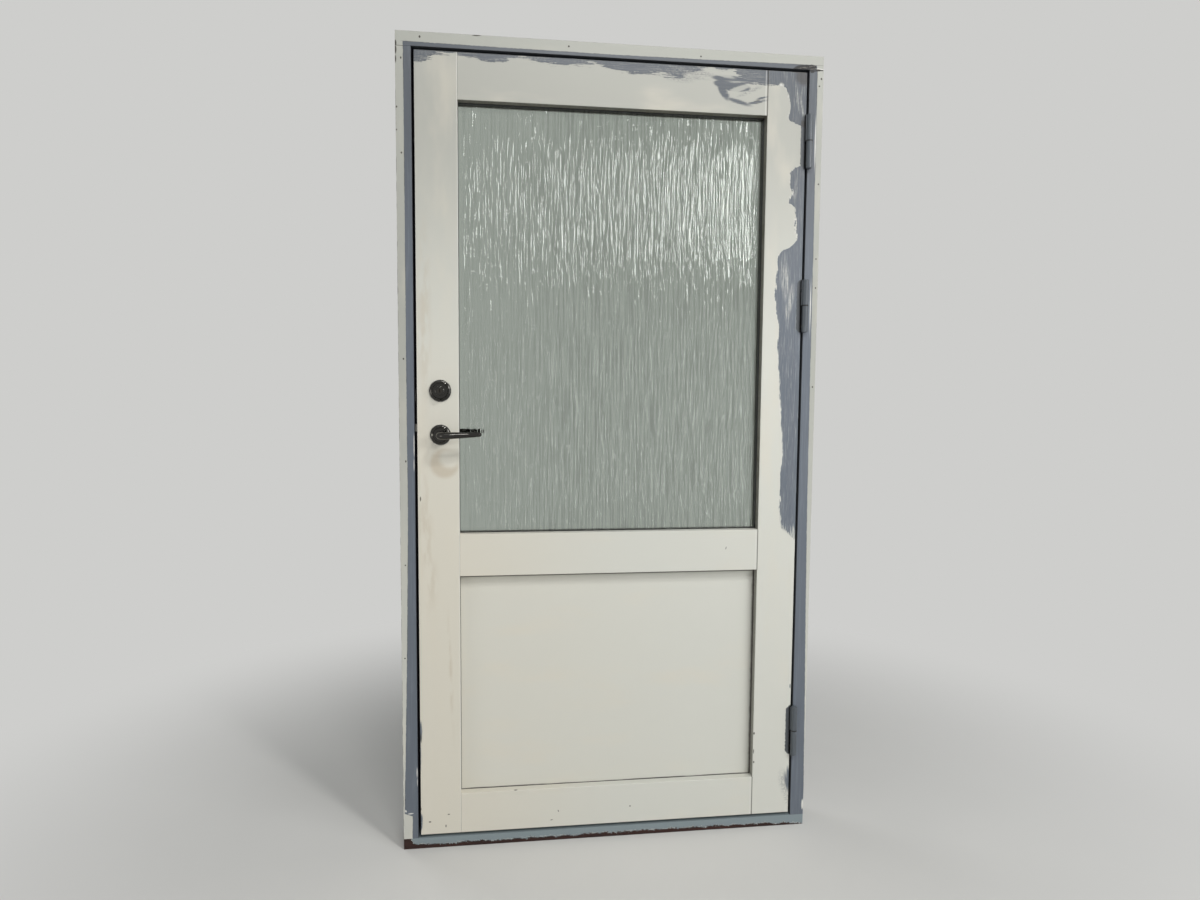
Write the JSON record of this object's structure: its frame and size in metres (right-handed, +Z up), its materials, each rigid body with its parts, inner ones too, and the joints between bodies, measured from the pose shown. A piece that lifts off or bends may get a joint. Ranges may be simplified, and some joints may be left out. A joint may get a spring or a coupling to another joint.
{
  "type": "half-glazed exterior door in its frame",
  "caption": "Outward-opening timber door in its rebated frame: glass over a flat panel, lift-off hinges, lever handle, latch, and a bolt thrown from a thumb turn.",
  "frame": {"origin": "middle of the sill's flat underside, halfway through the frame's depth", "axes": "+Z up, +X towards the hinge side as seen from outside, +Y into the building"},
  "size_m": [1.03, 0.1772, 1.96],
  "materials": {
    "frame_timber": "painted, satin",
    "sill_timber": "oiled hardwood, part painted",
    "leaf_timber": "painted, satin",
    "panel_board": "painted, satin",
    "bead_timber": "painted, satin",
    "dowel_wood": "bare",
    "pattern_glass": "streaky pattern",
    "clear_glass": "clear",
    "spacer_metal": "mill",
    "gasket_rubber": "matt",
    "seal_rubber": "matt",
    "block_plastic": "matt",
    "hinge_painted": "overpainted",
    "hinge_steel": "ground",
    "washer_plastic": "matt",
    "screw_steel": "zinc plated",
    "lock_steel": "zinc plated",
    "chrome": "polished",
    "plug_brass": "worn"
  },
  "bodies": {
    "frame": {"lock_jamb": "frame_timber", "hinge_jamb": "frame_timber", "head_jamb": "frame_timber", "threshold": "sill_timber", "corner_screws": "screw_steel", "weather_seal": "seal_rubber", "strike_plate": "lock_steel", "strike_screws": "screw_steel", "hinge_frame_half_top": "hinge_painted", "hinge_frame_half_second": "hinge_painted", "hinge_frame_half_bottom": "hinge_painted", "hinge_pins": "hinge_steel", "hinge_washers": "washer_plastic", "hinge_frame_screws": "screw_steel"},
    "leaf": {"lock_stile": "leaf_timber", "hinge_stile": "leaf_timber", "top_rail": "leaf_timber", "middle_rail": "leaf_timber", "bottom_rail": "leaf_timber", "lower_panel": "panel_board", "glazing_bead_top": "bead_timber", "glazing_bead_bottom": "bead_timber", "glazing_bead_left": "bead_timber", "glazing_bead_right": "bead_timber", "panel_bead_top": "bead_timber", "panel_bead_bottom": "bead_timber", "panel_bead_left": "bead_timber", "panel_bead_right": "bead_timber", "rail_dowels": "dowel_wood", "outer_pane": "pattern_glass", "inner_pane": "clear_glass", "spacer_frame": "spacer_metal", "glazing_gasket": "gasket_rubber", "panel_seal": "gasket_rubber", "setting_blocks": "block_plastic", "hinge_leaf_half_top": "hinge_painted", "hinge_leaf_half_second": "hinge_painted", "hinge_leaf_half_bottom": "hinge_painted", "hinge_leaf_screws": "screw_steel", "forend_screws": "screw_steel", "rosette_bolts": "screw_steel", "cylinder_screws": "screw_steel", "lock_case": "lock_steel", "lock_cover": "lock_steel", "lock_forend": "lock_steel", "outer_lever_rosette": "chrome", "inner_lever_rosette": "chrome", "cylinder_rosette": "chrome", "turn_rosette": "chrome", "lock_cylinder": "chrome"},
    "lever": {"outer_lever": "chrome", "inner_lever": "chrome", "spindle": "lock_steel", "follower": "lock_steel"},
    "latch": {"latch_bolt": "lock_steel"},
    "turn": {"thumb_turn": "chrome", "tail_bar": "lock_steel", "bolt_cam": "lock_steel", "cylinder_plug": "plug_brass"},
    "bolt": {"dead_bolt": "lock_steel"}
  },
  "joints": [
    {"name": "door_swing", "type": "hinge", "parent": "frame", "child": "leaf", "pos_m": [0.4805, -0.0605, 0], "axis": [0, 0, 1], "range_deg": [0, 170]},
    {"name": "lever_turn", "type": "hinge", "parent": "leaf", "child": "lever", "pos_m": [-0.4185, -0.0225, 1.03], "axis": [0, 1, 0], "range_deg": [0, 45], "stiffness_Nm_per_rad": 1.5, "springref_deg": -34.38},
    {"name": "latch_slide", "type": "slide", "parent": "leaf", "child": "latch", "axis": [1, 0, 0], "range_m": [0, 0.012]},
    {"name": "thumb_turn_rotation", "type": "hinge", "parent": "leaf", "child": "turn", "pos_m": [-0.4185, -0.0225, 1.135], "axis": [0, 1, 0], "range_deg": [0, 90]},
    {"name": "bolt_slide", "type": "slide", "parent": "leaf", "child": "bolt", "axis": [-1, 0, 0], "range_m": [0, 0.02]}
  ],
  "couplings": [
    {"joint": "latch_slide", "follows": "lever_turn", "m_per_rad": 0.015278},
    {"joint": "thumb_turn_rotation", "follows": "bolt_slide", "rad_per_m": 78.54}
  ]
}
